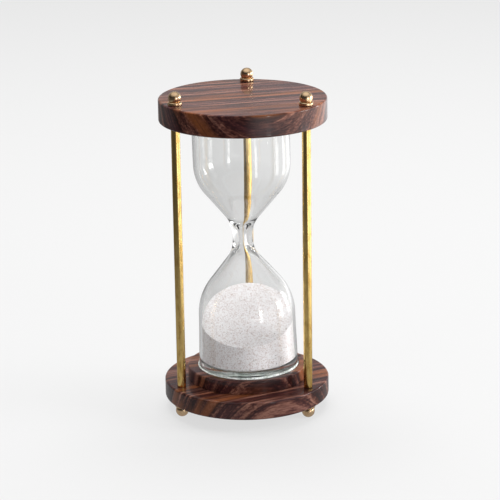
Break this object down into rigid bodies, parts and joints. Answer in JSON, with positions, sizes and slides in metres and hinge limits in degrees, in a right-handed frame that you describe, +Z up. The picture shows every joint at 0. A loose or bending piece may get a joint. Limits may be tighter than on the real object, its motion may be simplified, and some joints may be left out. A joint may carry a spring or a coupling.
{
  "type": "hourglass",
  "caption": "Sand timer: a narrow-waisted blown glass between round wooden plates, held by slim brass pillars with screw-on ball nuts above and ball feet below.",
  "frame": {"origin": "middle of the circle through the three foot nuts, on the surface they stand on", "axes": "+Z up along the timer's axis, +Y towards the back pillar, +X to the right seen from the front"},
  "size_m": [0.076, 0.076, 0.1525],
  "materials": {
    "rosewood": "dark figured rosewood, gloss lacquer",
    "pillar_brass": "drawn brass tube, patinated and slightly blotchy",
    "nut_brass": "turned and polished, golden",
    "rod_brass": "threaded rod, plain",
    "blown_glass": "clear, hand blown, slightly uneven",
    "sand": "fine pinkish white quartz sand with tan and dark grains",
    "glue": "clear to cloudy adhesive bead",
    "cork": "fine agglomerated cork"
  },
  "bodies": {
    "timer_frame": {"top_plate": "rosewood", "base_plate": "rosewood", "base_plinth": "rosewood", "base_seat_pad": "cork", "top_seat_pad": "cork", "glass_bulb": "blown_glass", "fill_stopper": "cork", "sand": "sand", "base_glue": "glue", "top_glue": "glue", "pillar_back": "pillar_brass", "pillar_left": "pillar_brass", "pillar_right": "pillar_brass", "tie_rod_back": "rod_brass", "tie_rod_left": "rod_brass", "tie_rod_right": "rod_brass"},
    "top_ring_back": {"top_ring_back": "nut_brass"},
    "top_ball_back": {"top_ball_back": "nut_brass"},
    "foot_ring_back": {"foot_ring_back": "nut_brass"},
    "foot_ball_back": {"foot_ball_back": "nut_brass"},
    "top_ring_left": {"top_ring_left": "nut_brass"},
    "top_ball_left": {"top_ball_left": "nut_brass"},
    "foot_ring_left": {"foot_ring_left": "nut_brass"},
    "foot_ball_left": {"foot_ball_left": "nut_brass"},
    "top_ring_right": {"top_ring_right": "nut_brass"},
    "top_ball_right": {"top_ball_right": "nut_brass"},
    "foot_ring_right": {"foot_ring_right": "nut_brass"},
    "foot_ball_right": {"foot_ball_right": "nut_brass"}
  },
  "joints": [
    {"name": "top_lift_back", "type": "slide", "parent": "timer_frame", "child": "top_ring_back", "axis": [0, 0, 1], "range_m": [0, 0.0027]},
    {"name": "top_screw_back", "type": "hinge", "parent": "top_ring_back", "child": "top_ball_back", "pos_m": [0, 0.0335, 0.1465], "axis": [0, 0, 1], "range_deg": [0, 2160]},
    {"name": "foot_lift_back", "type": "slide", "parent": "timer_frame", "child": "foot_ring_back", "axis": [0, 0, -1], "range_m": [0, 0.0027]},
    {"name": "foot_screw_back", "type": "hinge", "parent": "foot_ring_back", "child": "foot_ball_back", "pos_m": [0, 0.0335, 0.006], "axis": [0, 0, -1], "range_deg": [0, 2160]},
    {"name": "top_lift_left", "type": "slide", "parent": "timer_frame", "child": "top_ring_left", "axis": [0, 0, 1], "range_m": [0, 0.0027]},
    {"name": "top_screw_left", "type": "hinge", "parent": "top_ring_left", "child": "top_ball_left", "pos_m": [-0.02901, -0.01675, 0.1465], "axis": [0, 0, 1], "range_deg": [0, 2160]},
    {"name": "foot_lift_left", "type": "slide", "parent": "timer_frame", "child": "foot_ring_left", "axis": [0, 0, -1], "range_m": [0, 0.0027]},
    {"name": "foot_screw_left", "type": "hinge", "parent": "foot_ring_left", "child": "foot_ball_left", "pos_m": [-0.02901, -0.01675, 0.006], "axis": [0, 0, -1], "range_deg": [0, 2160]},
    {"name": "top_lift_right", "type": "slide", "parent": "timer_frame", "child": "top_ring_right", "axis": [0, 0, 1], "range_m": [0, 0.0027]},
    {"name": "top_screw_right", "type": "hinge", "parent": "top_ring_right", "child": "top_ball_right", "pos_m": [0.02901, -0.01675, 0.1465], "axis": [0, 0, 1], "range_deg": [0, 2160]},
    {"name": "foot_lift_right", "type": "slide", "parent": "timer_frame", "child": "foot_ring_right", "axis": [0, 0, -1], "range_m": [0, 0.0027]},
    {"name": "foot_screw_right", "type": "hinge", "parent": "foot_ring_right", "child": "foot_ball_right", "pos_m": [0.02901, -0.01675, 0.006], "axis": [0, 0, -1], "range_deg": [0, 2160]}
  ],
  "couplings": [
    {"joint": "top_screw_back", "follows": "top_lift_back", "rad_per_m": 13963},
    {"joint": "foot_screw_back", "follows": "foot_lift_back", "rad_per_m": 13963},
    {"joint": "top_screw_left", "follows": "top_lift_left", "rad_per_m": 13963},
    {"joint": "foot_screw_left", "follows": "foot_lift_left", "rad_per_m": 13963},
    {"joint": "top_screw_right", "follows": "top_lift_right", "rad_per_m": 13963},
    {"joint": "foot_screw_right", "follows": "foot_lift_right", "rad_per_m": 13963}
  ]
}
